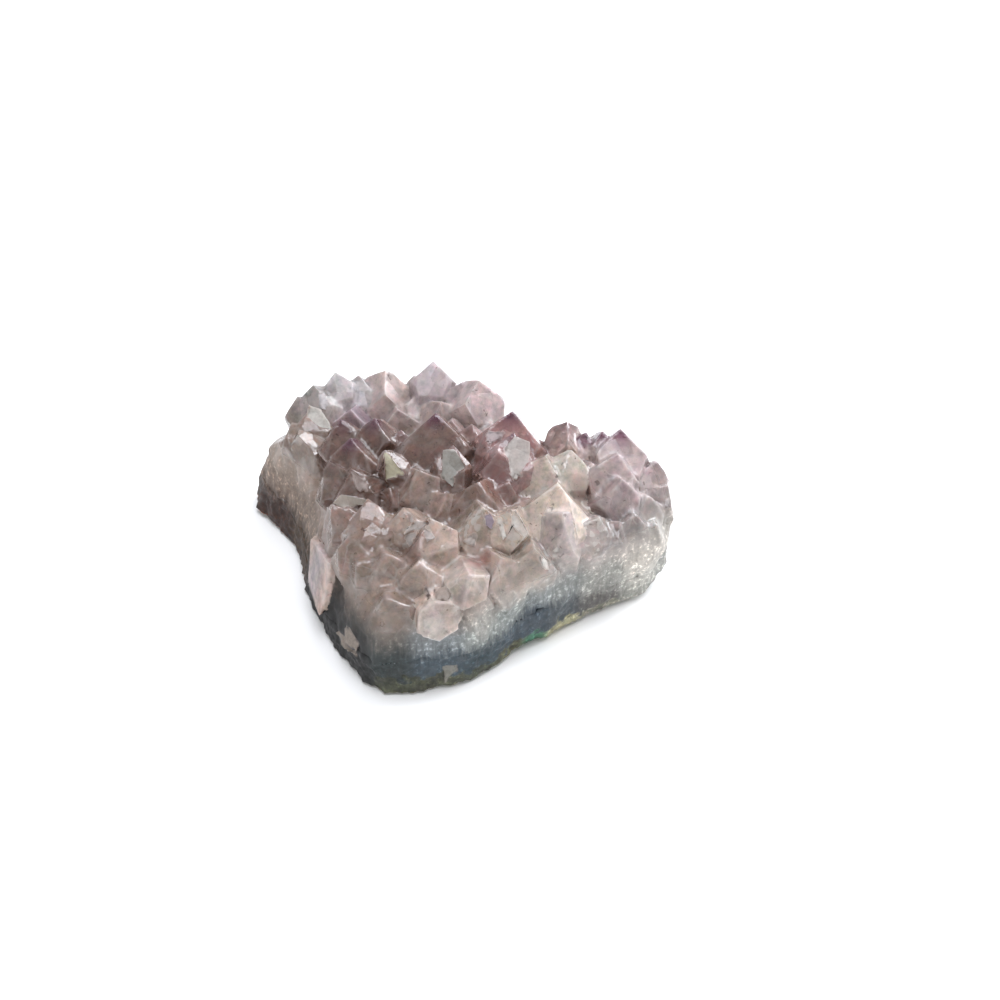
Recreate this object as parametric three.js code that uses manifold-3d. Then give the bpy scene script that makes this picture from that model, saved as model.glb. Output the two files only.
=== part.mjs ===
// An amethyst cluster broken from the wall of a geode. Quartz points have grown together on a bed
// of milky quartz, and the bed sits on a thin rind of dark chalcedony with a basalt skin.
// Seen from above the plate is roughly heart-shaped: one corner in front, a back lobe on the left,
// a shorter lobe on the right, and a notch between the two.
// Millimetres, +Z up, front corner towards -Y. The origin is the middle of the flat underside.

import * as THREE from "three";
import { ConvexGeometry } from "three/addons/geometries/ConvexGeometry.js";
import { mergeVertices } from "three/addons/utils/BufferGeometryUtils.js";
import Module from "manifold-3d";

const wasm = await Module();
wasm.setup();

// Driving dimensions
const rindMiddle = 8; // height of the rind's top in the middle of the plate
const rindWaver = 1.2; // how far that top wanders up and down
const seamGap = 0.3; // between the rind and the quartz that sits on it
const flatShare = 0.74; // share of the foot outline that is worn flat underneath
const bedDepth = 5.5; // from a crystal's tip down to the bed it stands on
const rootDepth = 17; // how far a crystal runs down into the bed
const wallRoughness = 0.75; // lumps and flutes on the broken edge
const shoulder = 3.2; // how far the bed draws in where the crystals stand on its rim
const shoulderDrop = 0.14; // how far below the rim it ends, as a share of the edge
const edgeProud = 1.1; // how far crystals may stand out past the broken edge
const splitProud = 4; // the same for the crystals that have split
const envelopeTop = 45; // above every tip
const rimSpacing = 7; // between the crystals that stand round the rim
const rimWidth = [6.5, 9.5]; // smallest and largest of them, across the flats
const rimSetBack = [1.4, 3.4]; // from the broken edge to their tips
const rimRise = [0.2, 2.4]; // from the rim up to their tips
const fillSpacing = 6.4; // between the small crystals that fill the bed
const fillWidth = [4.2, 7.4]; // smallest and largest of them, across the flats
const stationsAround = 72; // points in each ring of the plate's edge

// Quartz's end faces all make this angle with the crystal's long axis.
const faceToAxis = THREE.MathUtils.degToRad(38.2);

// The plate's edge, anticlockwise from the front corner. foot is where the edge meets the underside,
// lift how high it is there, rind how far the rind reaches up the edge from it, lean how far the
// edge stands outwards by the time it reaches the rim (inwards where negative), and rim the height
// of the rim.
const edgeStations = [
  { foot: [-12.5, -30], lift: 0.6, rind: 7.5, lean: 0.2, rim: 19 },
  { foot: [-3.5, -28.4], lift: 0.6, rind: 7.5, lean: 0.4, rim: 18 },
  { foot: [3.5, -25.6], lift: 0.8, rind: 7.5, lean: 0.6, rim: 18 },
  { foot: [10.3, -19.8], lift: 1.2, rind: 7.5, lean: 0.8, rim: 18.5 },
  { foot: [14.8, -17.2], lift: 1.2, rind: 7.5, lean: 1, rim: 19 },
  { foot: [19.4, -13.2], lift: 1, rind: 7, lean: 1.4, rim: 19 },
  { foot: [24.8, -10], lift: 1, rind: 6, lean: 1.8, rim: 18.5 },
  { foot: [31.4, -7], lift: 1.2, rind: 5, lean: 2.6, rim: 17 },
  { foot: [35.2, -2.4], lift: 2.6, rind: 4.5, lean: 2.6, rim: 15.5 },
  { foot: [34.6, 4.2], lift: 2.6, rind: 5, lean: 2.4, rim: 16.5 },
  { foot: [29.5, 9], lift: 2, rind: 5.5, lean: 2, rim: 19 },
  { foot: [20, 10.8], lift: 1.4, rind: 6, lean: 1.4, rim: 20.5 },
  { foot: [11, 11.6], lift: 1.2, rind: 6.5, lean: 1, rim: 19.5 },
  { foot: [8.2, 17.5], lift: 1, rind: 6.5, lean: 0.6, rim: 18 },
  { foot: [5.6, 25], lift: 1, rind: 7, lean: 0.8, rim: 20 },
  { foot: [-4, 29.6], lift: 1.2, rind: 7, lean: 0.8, rim: 21 },
  { foot: [-17, 30], lift: 1.4, rind: 7, lean: 0.4, rim: 20 },
  { foot: [-29, 28.2], lift: 1.4, rind: 6.5, lean: -3, rim: 19.5 },
  { foot: [-38.4, 24.6], lift: 1.6, rind: 6, lean: -7, rim: 20 },
  { foot: [-39.6, 18.4], lift: 1.4, rind: 6, lean: -8.5, rim: 21 },
  { foot: [-33.6, 10.8], lift: 0.6, rind: 5.5, lean: -8.5, rim: 22 },
  { foot: [-29.8, 3.6], lift: 0.6, rind: 5, lean: -7, rim: 22 },
  { foot: [-28.2, -4.4], lift: 0.6, rind: 3.6, lean: -6.4, rim: 21 },
  { foot: [-25.4, -12], lift: 0.8, rind: 3.6, lean: -5.4, rim: 20.5 },
  { foot: [-20.2, -21], lift: 0.6, rind: 5.5, lean: -2.6, rim: 20 },
  { foot: [-15.6, -27.4], lift: 0.6, rind: 6.5, lean: -0.4, rim: 19.5 },
];

// The point inside the plate from which its whole edge can be seen.
const middle = new THREE.Vector2(-6, 2);

// The crystals that can be told apart, one to a line:
// tip x, tip y, tip height, width across the flats, direction of lean, lean, turn about its axis.
// Directions are in degrees, with 0 towards +X and 90 towards the back.
const backLobeCrystals = [
  [-27.5, 24, 25, 9, 160, 14, 10],
  [-23.5, 26.5, 26, 7.5, 120, 8, 50],
  [-19.5, 27.5, 24.6, 8, 90, 12, 20],
  [-14.5, 27, 26, 9.5, 80, 6, 90],
  [-5.5, 27.5, 27.8, 7.5, 60, 4, 30],
  [0, 25.5, 24.6, 7, 40, 10, 12],
  [2.9, 23.2, 26.6, 10.5, 20, 8, 62],
  [-20.5, 20, 22.5, 9.5, -120, 12, 15],
  [-12, 20.5, 22, 10, -90, 14, 45],
  [-4, 21, 23.5, 9, -60, 10, 80],
  [-2, 15.5, 23.4, 5, -80, 8, 20],
  [-27, 17.6, 24.4, 7, 90, 24, -88],
  [-30.6, 23.4, 22.8, 7.5, 170, 16, 30],
];
const crestCrystals = [
  [-21, 9.5, 28, 9.5, 140, 10, 32],
  [-15, 8.5, 29, 8.5, 100, 6, 5],
  [-10.5, 8.5, 26.4, 6.5, 60, 12, 40],
  [-4.5, 7, 31, 13.5, 80, 4, 28],
  [1.8, 10.5, 26.2, 6.5, 90, 14, 0],
  [5.5, 6, 29, 6.5, 110, 10, 52],
  [9, 7.5, 31, 11.5, 60, 6, 20],
  [18.5, 9.5, 27.6, 6.5, 70, 10, 96],
  [22, 8.5, 26, 5.5, 40, 14, 12],
  [24.6, 8.2, 26.4, 6, 90, 8, 50],
  [28, 8, 27, 9.5, 60, 10, 34],
];
const slopeCrystals = [
  [-1.3, 0.6, 29.2, 6.4, 82, 22, -90],
  [-12.8, -0.8, 29.4, 5.2, 156, 24, -24],
  [-19.2, 4.4, 27.8, 10.5, 150, 12, 12],
  [-18.4, -3.4, 27, 9, 200, 14, 44],
  [-15.2, -10, 26.2, 9, 110, 20, -84],
  [9, 3.4, 29.6, 9.5, 78, 24, -92],
  [14.5, -1, 28, 8.5, -30, 8, 14],
  [19, 0.6, 28, 8, 30, 12, 50],
  [6.5, -1, 28.8, 8.5, -100, 6, 38],
  [-7.3, -4.4, 27.8, 8.5, -120, 10, 60],
  [16.2, -7.6, 27.4, 13, 20, 4, 24],
  [3.1, -7.6, 27.6, 10.5, -90, 8, 5],
  [4, -13, 26.8, 12, -70, 10, 46],
  [9.4, -13.4, 26.4, 8, -40, 14, 10],
  [-4.7, -14.8, 26, 8.5, 120, 12, -64],
  [-9.2, -13, 26.4, 8.5, -140, 8, 30],
  [-12, -19.6, 22.8, 11, -120, 14, 52],
  [-18.2, -15.6, 22.8, 9.5, -160, 16, 20],
  [-21.6, -8.4, 23.6, 8.5, 190, 18, 75],
  [-22.8, 1.8, 24.6, 8.5, 180, 18, 33],
];
const rightEndCrystals = [
  [27, 1, 27, 9.5, 20, 8, 22],
  [27.6, -3.6, 25, 8, -40, 12, 50],
  [34.4, 6, 21.6, 7, 30, 20, 40],
  [36.4, 2.6, 18.6, 8, 0, 26, 0],
  [32.4, -2.4, 20.8, 8.5, -20, 18, 70],
  [23.4, -11, 22.6, 9, -50, 16, 15],
  [29.8, -7, 20.6, 8.5, -40, 22, 48],
];
const frontEdgeCrystals = [
  [17.2, -12.4, 25, 11, -60, 14, -20],
  [12.4, -18.4, 22.4, 9, -60, 20, 32],
  [7, -20.4, 22.4, 10, -80, 18, 66],
  [-6.4, -22, 22.6, 9, -110, 16, 25],
  [-11.6, -27, 19.6, 8.5, -110, 26, 40],
  [3.6, -24.6, 19.6, 7, -60, 30, 12],
];
const namedCrystals = [
  ...backLobeCrystals,
  ...crestCrystals,
  ...slopeCrystals,
  ...rightEndCrystals,
  ...frontEdgeCrystals,
].map(([x, y, z, width, towards, lean, turn]) => ({
  tip: new THREE.Vector3(x, y, z),
  width,
  towards,
  lean,
  turn,
}));

// Broad flat faces in the broken edge, where single crystals have split: the corners of each, and how
// deep the crystal behind it runs into the plate.
const splitFaces = [
  {
    corners: [
      [-26.4, -4, 12.6],
      [-22.2, -13.7, 15],
      [-22.7, -16.1, 10.7],
      [-24.5, -16.3, 4.8],
      [-27.2, -9, 4.5],
    ],
    depth: 8,
  },
  {
    corners: [
      [-6.4, -28.6, 17.9],
      [-4.2, -27.4, 19.1],
      [-1.3, -27.2, 18.9],
      [1, -28, 17.5],
      [0, -29.6, 15.3],
      [-2.9, -31, 14],
      [-6.5, -30.8, 15],
    ],
    depth: 8,
  },
  {
    corners: [
      [-2, -23.8, 19.6],
      [1.9, -24, 22],
      [5.2, -22.4, 20.4],
      [4.6, -25.9, 18.2],
      [0.8, -28.4, 18.2],
      [-2.4, -25.7, 17.8],
    ],
    depth: 8,
  },
];

const splitPlaces = splitFaces.map(({ corners }) => {
  const size = new THREE.Box3().setFromPoints(corners.map((corner) => new THREE.Vector3(...corner)));
  return { tip: size.getCenter(new THREE.Vector3()), width: size.getSize(new THREE.Vector3()).length() };
});

// Repeatable randomness

function randomFrom(seed) {
  let state = seed;
  return () => {
    state = (state * 1664525 + 1013904223) >>> 0;
    return state / 4294967296;
  };
}

function cellValue(i, j, k) {
  const mixed = Math.sin(i * 127.1 + j * 311.7 + k * 74.7) * 43758.5453;
  return mixed - Math.floor(mixed);
}

// Smooth lumps between -1 and 1, about one unit across.
function lumps(x, y, z) {
  const [i, j, k] = [Math.floor(x), Math.floor(y), Math.floor(z)];
  const ease = (v) => v * v * (3 - 2 * v);
  const [u, v, w] = [ease(x - i), ease(y - j), ease(z - k)];
  let sum = 0;
  for (let corner = 0; corner < 8; corner++) {
    const [a, b, c] = [corner & 1, (corner >> 1) & 1, (corner >> 2) & 1];
    const weight = (a ? u : 1 - u) * (b ? v : 1 - v) * (c ? w : 1 - w);
    sum += weight * cellValue(i + a, j + b, k + c);
  }
  return 2 * sum - 1;
}

// The plate's edge as a surface

const footCurve = new THREE.CatmullRomCurve3(
  edgeStations.map(({ foot, lift }) => new THREE.Vector3(foot[0], foot[1], lift)),
  true,
  "centripetal",
);
const slopeCurve = new THREE.CatmullRomCurve3(
  edgeStations.map(({ lean, rim, rind }) => new THREE.Vector3(lean, rim, rind)),
  true,
  "catmullrom",
);

// A point on the broken edge: u runs once round the plate, t from the foot (0) to the rim (1).
function edgePoint(u, t, proud = 0) {
  const foot = footCurve.getPoint(u);
  const { x: lean, y: rim } = slopeCurve.getPoint(u);
  const outward = new THREE.Vector2(foot.x, foot.y).sub(middle).normalize();
  const bulge = lean > 0 ? Math.sqrt(t) : t ** 1.5;
  const z = foot.z + (rim - foot.z) * t;
  const flutes = lumps(foot.x / 2.6, foot.y / 2.6, z / 14);
  const knobs = lumps(foot.x / 6 + 9, foot.y / 6, z / 5);
  const fade = Math.min(1, 0.35 + 2 * t);
  const reach = lean * bulge + (flutes + knobs) * wallRoughness * fade + proud;
  return new THREE.Vector3(foot.x + outward.x * reach, foot.y + outward.y * reach, z);
}

// Where the rind ends on the broken edge, as a share of the way from the foot to the rim.
function seamShare(u) {
  const foot = footCurve.getPoint(u);
  const { y: rim, z: rind } = slopeCurve.getPoint(u);
  return (rind + rindWaver * lumps(foot.x / 7, foot.y / 7, 3)) / (rim - foot.z);
}

// The seam between rind and quartz, s running from the middle of the plate (0) to its edge (1).
function seamPoint(u, s, above = 0) {
  const rim = edgePoint(u, seamShare(u));
  const [x, y] = towardsMiddle(rim, s);
  const wave = lumps(x / 8, y / 8, 7) * rindWaver * (1 - s * s);
  return new THREE.Vector3(x, y, THREE.MathUtils.lerp(rindMiddle, rim.z, s * s) + wave + above);
}

function towardsMiddle(point, s) {
  return [middle.x + (point.x - middle.x) * s, middle.y + (point.y - middle.y) * s];
}

function ring(place) {
  return Array.from({ length: stationsAround }, (_, i) => place(i / stationsAround));
}

// Height of the quartz bed: a fixed depth below the tips of the crystals around it.
function bedHeight(x, y) {
  let [sum, weights] = [0, 0];
  for (const { tip } of namedCrystals) {
    const weight = 1 / ((tip.x - x) ** 2 + (tip.y - y) ** 2 + 6) ** 2;
    sum += weight * (tip.z - bedDepth);
    weights += weight;
  }
  return sum / weights;
}

// Solids

function solidOf(geometry) {
  const bare = geometry.clone();
  bare.deleteAttribute("normal");
  bare.deleteAttribute("uv");
  const merged = mergeVertices(bare, 1e-4);
  return new wasm.Manifold(
    new wasm.Mesh({
      numProp: 3,
      vertProperties: merged.attributes.position.array,
      triVerts: new Uint32Array(merged.index.array),
    }),
  );
}

function geometryOf(solid) {
  const { vertProperties, triVerts } = solid.getMesh();
  const geometry = new THREE.BufferGeometry();
  geometry.setAttribute("position", new THREE.BufferAttribute(new Float32Array(vertProperties), 3));
  geometry.setIndex(new THREE.BufferAttribute(new Uint32Array(triVerts), 1));
  return geometry;
}

// A closed skin through rings of points, each anticlockwise from above, from the bottom one to the
// top one. first and last are the points that close it.
function skin(first, rings, last) {
  const count = rings[0].length;
  const points = [first, ...rings.flat(), last];
  const faces = [];
  for (let i = 0; i < count; i++) {
    const next = (i + 1) % count;
    faces.push(0, 1 + next, 1 + i);
    for (let r = 0; r + 1 < rings.length; r++) {
      const [low, high] = [1 + r * count, 1 + (r + 1) * count];
      faces.push(low + i, low + next, high + next);
      faces.push(low + i, high + next, high + i);
    }
    const top = 1 + (rings.length - 1) * count;
    faces.push(points.length - 1, top + i, top + next);
  }
  const geometry = new THREE.BufferGeometry().setFromPoints(points);
  geometry.setIndex(faces);
  return geometry;
}

function range(from, to, steps) {
  return Array.from({ length: steps }, (_, i) => from + ((to - from) * i) / (steps - 1));
}

function makeRind() {
  const underside = [flatShare, 0.88].map((share) =>
    ring((u) => {
      const foot = edgePoint(u, 0);
      const [x, y] = towardsMiddle(foot, share);
      return new THREE.Vector3(x, y, share === flatShare ? 0 : foot.z * 0.35);
    }),
  );
  const wall = range(0, 1, 4).map((share) => ring((u) => edgePoint(u, share * seamShare(u))));
  const top = [0.88, 0.7, 0.45, 0.2].map((s) => ring((u) => seamPoint(u, s)));
  const floor = new THREE.Vector3(middle.x, middle.y, 0);
  return solidOf(skin(floor, [...underside, ...wall, ...top], seamPoint(0, 0)));
}

function makeBed() {
  const bottom = [0.2, 0.45, 0.7, 0.88].map((s) => ring((u) => seamPoint(u, s, seamGap)));
  const lowest = (u) => seamShare(u) + seamGap / slopeCurve.getPoint(u).y;
  const wall = range(0, 1, 6).map((share) =>
    ring((u) =>
      edgePoint(u, THREE.MathUtils.lerp(lowest(u), 1 - shoulderDrop, share), -shoulder * share ** 4),
    ),
  );
  const top = [0.84, 0.7, 0.55, 0.38, 0.2].map((s) =>
    ring((u) => {
      const [x, y] = towardsMiddle(edgePoint(u, 1), s);
      return new THREE.Vector3(x, y, bedHeight(x, y));
    }),
  );
  const peak = new THREE.Vector3(middle.x, middle.y, bedHeight(middle.x, middle.y));
  return solidOf(skin(seamPoint(0, 0, seamGap), [...bottom, ...wall, ...top], peak));
}

// Everything above the seam and inside the broken edge. proud gives how far it stands out past the
// edge, for a share of the way from the seam (0) to the rim (1).
function makeEnvelope(proud) {
  const bottom = [0.2, 0.45, 0.7, 0.88].map((s) => ring((u) => seamPoint(u, s, seamGap)));
  const lowest = (u) => seamShare(u) + seamGap / slopeCurve.getPoint(u).y;
  const wall = range(0, 1, 6).map((share) =>
    ring((u) => edgePoint(u, THREE.MathUtils.lerp(lowest(u), 1, share), proud(share))),
  );
  const upright = ring((u) => edgePoint(u, 1, proud(1)).setZ(envelopeTop));
  const peak = new THREE.Vector3(middle.x, middle.y, envelopeTop);
  return solidOf(skin(seamPoint(0, 0, seamGap), [...bottom, ...wall, upright], peak));
}

// The corners of the solid that a set of planes bounds, each plane { normal, distance }.
function cornersOf(planes) {
  const corners = [];
  const inside = (p) => planes.every(({ normal, distance }) => normal.dot(p) < distance + 1e-6);
  for (let i = 0; i < planes.length; i++)
    for (let j = i + 1; j < planes.length; j++)
      for (let k = j + 1; k < planes.length; k++) {
        const [a, b, c] = [planes[i], planes[j], planes[k]];
        const bc = new THREE.Vector3().crossVectors(b.normal, c.normal);
        const volume = a.normal.dot(bc);
        if (Math.abs(volume) < 1e-6) continue;
        const ca = new THREE.Vector3().crossVectors(c.normal, a.normal);
        const ab = new THREE.Vector3().crossVectors(a.normal, b.normal);
        const p = bc.multiplyScalar(a.distance);
        p.addScaledVector(ca, b.distance).addScaledVector(ab, c.distance).divideScalar(volume);
        if (inside(p) && !corners.some((q) => q.distanceTo(p) < 1e-3)) corners.push(p);
      }
  return corners;
}

// A quartz crystal with its tip at the origin, pointing up: six prism faces, three large end faces
// that meet in the tip, and three smaller ones that cut the edges between them.
function quartzCrystal(width, length, random) {
  const planes = [{ normal: new THREE.Vector3(0, 0, -1), distance: length }];
  for (let face = 0; face < 6; face++) {
    const azimuth = (face * Math.PI) / 3;
    const side = new THREE.Vector3(Math.cos(azimuth), Math.sin(azimuth), 0);
    planes.push({ normal: side, distance: (width / 2) * (0.86 + 0.28 * random()) });
    const end = side.clone().multiplyScalar(Math.cos(faceToAxis));
    end.z = Math.sin(faceToAxis);
    const setBack = face % 2 ? width * (0.05 + 0.16 * random()) : width * 0.03 * random();
    planes.push({ normal: end, distance: setBack });
  }
  return new ConvexGeometry(cornersOf(planes));
}

function stand(geometry, { tip, towards, lean, turn }) {
  const heading = THREE.MathUtils.degToRad(towards);
  const axis = new THREE.Vector3(-Math.sin(heading), Math.cos(heading), 0);
  const tilt = new THREE.Matrix4().makeRotationAxis(axis, THREE.MathUtils.degToRad(lean));
  const spin = new THREE.Matrix4().makeRotationZ(THREE.MathUtils.degToRad(turn));
  const place = new THREE.Matrix4().makeTranslation(tip.x, tip.y, tip.z);
  return geometry.applyMatrix4(place.multiply(tilt).multiply(spin));
}

// Crystals that stand side by side round the rim and lean outwards, where the broken edge cuts them.
function rimCrystals(random) {
  const found = [];
  const around = ring((u) => edgePoint(u, 1)).reduce(
    (length, point, i, points) => length + point.distanceTo(points[(i + 1) % points.length]),
    0,
  );
  const count = Math.round(around / rimSpacing);
  for (let i = 0; i < count; i++) {
    const u = (i + 0.5 * random()) / count;
    const width = THREE.MathUtils.lerp(...rimWidth, random());
    const tip = edgePoint(u, 1, -THREE.MathUtils.lerp(...rimSetBack, random()));
    tip.z += THREE.MathUtils.lerp(...rimRise, random());
    const away = new THREE.Vector2(tip.x, tip.y).sub(middle);
    const [lean, stray, turn] = [22 + 18 * random(), 50 * (random() - 0.5), 120 * random()];
    const towards = THREE.MathUtils.radToDeg(away.angle()) + stray;
    if (isNear(namedCrystals, tip, 0.36) || isNear(splitPlaces, tip, 0.5)) continue;
    found.push({ tip, width, towards, lean, turn });
  }
  return found;
}

// Whether a place, seen from above, is within a share of the width of any of these.
function isNear(others, { x, y }, share) {
  return others.some(({ tip, width }) => Math.hypot(tip.x - x, tip.y - y) < share * width);
}

// Small crystals between the ones that can be told apart, on a loose grid over the whole plate.
function fillCrystals(taken, random) {
  const found = [];
  const rimRing = ring((u) => edgePoint(u, 1));
  const outline = new THREE.Shape(rimRing.map(({ x, y }) => new THREE.Vector2(x, y))).getPoints();
  const size = new THREE.Box2().setFromPoints(outline);
  for (let row = 0, y = size.min.y; y < size.max.y; y += fillSpacing * 0.87, row++)
    for (let x = size.min.x + (row % 2) * fillSpacing * 0.5; x < size.max.x; x += fillSpacing) {
      const spot = new THREE.Vector2(x, y);
      spot.x += (random() - 0.5) * fillSpacing * 0.7;
      spot.y += (random() - 0.5) * fillSpacing * 0.7;
      const width = THREE.MathUtils.lerp(...fillWidth, random());
      const [turn, wander] = [random() * 120, random()];
      const away = spot.clone().sub(middle);
      if (!contains(outline, middle.clone().addScaledVector(away, 1.04))) continue;
      if (isNear(taken, spot, 0.42)) continue;
      const height = bedHeight(spot.x, spot.y) + 0.34 * width + 1.2 * wander;
      found.push({
        tip: new THREE.Vector3(spot.x, spot.y, height),
        width,
        towards: THREE.MathUtils.radToDeg(away.angle()) + (wander - 0.5) * 90,
        lean: 4 + away.length() * 0.45 + 8 * wander,
        turn,
      });
    }
  return found;
}

function contains(outline, { x, y }) {
  let inside = false;
  outline.forEach((a, i) => {
    const b = outline[(i + 1) % outline.length];
    if (a.y > y !== b.y > y && x < a.x + ((b.x - a.x) * (y - a.y)) / (b.y - a.y)) inside = !inside;
  });
  return inside;
}

// The crystal behind a split face: its corners, and the same corners set back into the plate.
function splitCrystal({ corners, depth }) {
  const front = corners.map((corner) => new THREE.Vector3(...corner));
  const size = new THREE.Box3().setFromPoints(front);
  const centre = size.getCenter(new THREE.Vector3());
  const inward = new THREE.Vector3(middle.x, middle.y, centre.z - 6).sub(centre).setLength(depth);
  const back = front.map((corner) => corner.clone().add(inward));
  return solidOf(new ConvexGeometry([...front, ...back]));
}

// The largest piece of a solid, without crumbs or sealed hollows.
function mainPiece(solid) {
  const pieces = solid.decompose();
  return pieces.reduce((best, piece) => (piece.volume() > best.volume() ? piece : best));
}

function makeCrystals() {
  const random = randomFrom(20);
  const large = [...namedCrystals, ...rimCrystals(random)];
  const crystals = [...large, ...fillCrystals(large, random)];
  let grown = makeBed();
  for (const crystal of crystals)
    grown = grown.add(solidOf(stand(quartzCrystal(crystal.width, rootDepth, random), crystal)));
  grown = grown.intersect(makeEnvelope((share) => edgeProud * share));
  const clear = makeEnvelope(() => splitProud);
  for (const face of splitFaces) grown = grown.add(splitCrystal(face).intersect(clear));
  return mainPiece(grown);
}

// Materials and the finished group

const chalcedony = new THREE.MeshStandardMaterial({
  color: 0x4b5258,
  roughness: 0.7,
  metalness: 0,
});
const amethyst = new THREE.MeshStandardMaterial({
  color: 0xab9aa6,
  roughness: 0.15,
  metalness: 0,
  flatShading: true,
});

function named(name, solid, material) {
  const mesh = new THREE.Mesh(geometryOf(solid), material);
  mesh.geometry.computeVertexNormals();
  mesh.name = name;
  return mesh;
}

const cluster = new THREE.Group();
cluster.add(named("chalcedony_rind", makeRind(), chalcedony));
cluster.add(named("amethyst_crystals", makeCrystals(), amethyst));

// Centre the whole over its underside.
const centre = new THREE.Box3().setFromObject(cluster).getCenter(new THREE.Vector3());
for (const mesh of cluster.children) mesh.geometry.translate(-centre.x, -centre.y, 0);

export default cluster;
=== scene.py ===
import math
import random

import bmesh
import bpy
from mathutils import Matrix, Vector, noise
from mathutils.bvhtree import BVHTree


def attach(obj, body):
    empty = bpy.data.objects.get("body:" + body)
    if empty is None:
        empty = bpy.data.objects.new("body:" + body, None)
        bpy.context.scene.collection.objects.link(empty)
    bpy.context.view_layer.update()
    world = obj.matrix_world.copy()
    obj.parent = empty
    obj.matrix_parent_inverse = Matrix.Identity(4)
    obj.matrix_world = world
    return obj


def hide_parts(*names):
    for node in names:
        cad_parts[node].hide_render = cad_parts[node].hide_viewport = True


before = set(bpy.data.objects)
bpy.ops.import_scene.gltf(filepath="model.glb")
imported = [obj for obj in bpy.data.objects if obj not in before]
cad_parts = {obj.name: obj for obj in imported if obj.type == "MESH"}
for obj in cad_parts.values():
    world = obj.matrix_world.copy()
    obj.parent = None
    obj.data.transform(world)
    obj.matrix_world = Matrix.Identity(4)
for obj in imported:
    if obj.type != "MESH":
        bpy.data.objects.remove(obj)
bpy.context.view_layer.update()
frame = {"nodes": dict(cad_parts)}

mm = 0.001
meshing = {
    "weld": 0.002 * mm,    # corners nearer to each other than this are one
    "flat": 0.5,           # degrees; triangles that meet flatter than this may be laid anew
}
print("frame loaded:", ", ".join(frame["nodes"]))


# Small helpers

def linear(hexColour):
    parts = [int(hexColour[i:i + 2], 16) / 255 for i in (1, 3, 5)]
    return [p / 12.92 if p <= 0.04045 else ((p + 0.055) / 1.055) ** 2.4 for p in parts] + [1.0]


def addNode(tree, kind, settings=None, links=None):
    node = tree.nodes.new(kind)
    for key, value in (settings or {}).items():
        if isinstance(key, int) or key in node.inputs:
            node.inputs[key].default_value = value
        else:
            setattr(node, key, value)
    for key, source in (links or {}).items():
        tree.links.new(source, node.inputs[key])
    return node


def smooth(low, high, value):
    share = min(1.0, max(0.0, (value - low) / (high - low)))
    return share * share * (3 - 2 * share)


def makeActive(piece):
    bpy.ops.object.select_all(action="DESELECT")
    piece.select_set(True)
    bpy.context.view_layer.objects.active = piece


def openMesh(piece, selectBy="VERT"):
    makeActive(piece)
    bpy.ops.object.mode_set(mode="EDIT")
    bpy.ops.mesh.select_mode(type=selectBy)
    bpy.ops.mesh.select_all(action="SELECT")


def closeMesh():
    bpy.ops.object.mode_set(mode="OBJECT")


# Selects the verts, edges or faces of an open mesh that are wanted, and says how many they are
def selectWanted(piece, parts, wanted):
    bpy.ops.mesh.select_all(action="DESELECT")
    cage = bmesh.from_edit_mesh(piece.data)
    chosen = [part for part in getattr(cage, parts) if wanted(part)]
    for part in chosen:
        part.select_set(True)
    cage.select_flush_mode()
    bmesh.update_edit_mesh(piece.data)
    return len(chosen)


# A copy of a solid from the frame, with its loose triangles joined up
def copySolid(node, name):
    piece = bpy.data.objects.new(name, frame["nodes"][node].data.copy())
    bpy.context.collection.objects.link(piece)
    piece.data.materials.clear()
    openMesh(piece)
    bpy.ops.mesh.remove_doubles(threshold=meshing["weld"])
    closeMesh()
    return piece


# Triangles, without the sliver that hangs by its long side where two flat faces shared it
def makeTriangles(piece):
    bpy.ops.mesh.select_all(action="SELECT")
    bpy.ops.mesh.quads_convert_to_tris()
    bpy.ops.mesh.select_mode(type="FACE")
    selectWanted(
        piece, "faces", lambda face: sum(len(edge.link_faces) == 1 for edge in face.edges) > 1,
    )
    bpy.ops.mesh.delete(type="FACE")
    bpy.ops.mesh.select_mode(type="EDGE")


# Halves the edges that are longer than this, in a few rounds
def cutFine(piece, longest, rounds=4):
    openMesh(piece, "EDGE")
    makeTriangles(piece)
    for turn in range(rounds):
        if not selectWanted(piece, "edges", lambda edge: edge.calc_length() > longest):
            break
        bpy.ops.mesh.subdivide(number_cuts=1)
        makeTriangles(piece)
        if turn < rounds - 1:
            bpy.ops.mesh.select_all(action="SELECT")
            bpy.ops.mesh.beautify_fill(angle_limit=math.radians(meshing["flat"]))
    closeMesh()


# Gives each point or face of a piece a value, a vector or a colour
def paint(piece, name, values, kind="FLOAT", domain="POINT"):
    layer = piece.data.attributes.new(name, kind, domain)
    part = {"FLOAT": "value", "FLOAT_VECTOR": "vector", "FLOAT_COLOR": "color"}[kind]
    layer.data.foreach_set(part, values)


def movePoints(piece, places):
    for vertex, place in zip(piece.data.vertices, places):
        vertex.co = place


def surfaceOf(piece):
    corners = [vertex.co for vertex in piece.data.vertices]
    faces = [tuple(face.vertices) for face in piece.data.polygons]
    return BVHTree.FromPolygons(corners, faces)


# Camera: 40 degrees above the floor, in front of the piece

view = {
    "elevation": math.radians(40),
    "distance": 300 * mm,
    "target": Vector((7.87, 20.84, 0)) * mm,
    "lens": 56.05,
    "sensor": 36,
    "picture": 1000,    # px across
    "clipStart": 10 * mm,
}
towardsCamera = Vector((0, -math.cos(view["elevation"]), math.sin(view["elevation"])))
cameraPlace = view["target"] + view["distance"] * towardsCamera


def makeCamera():
    tilt = (math.pi / 2 - view["elevation"], 0, 0)
    bpy.ops.object.camera_add(location=cameraPlace, rotation=tilt)
    camera = bpy.context.object
    camera.data.lens = view["lens"]
    camera.data.sensor_width = view["sensor"]
    camera.data.clip_start = view["clipStart"]
    bpy.context.scene.camera = camera


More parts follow.
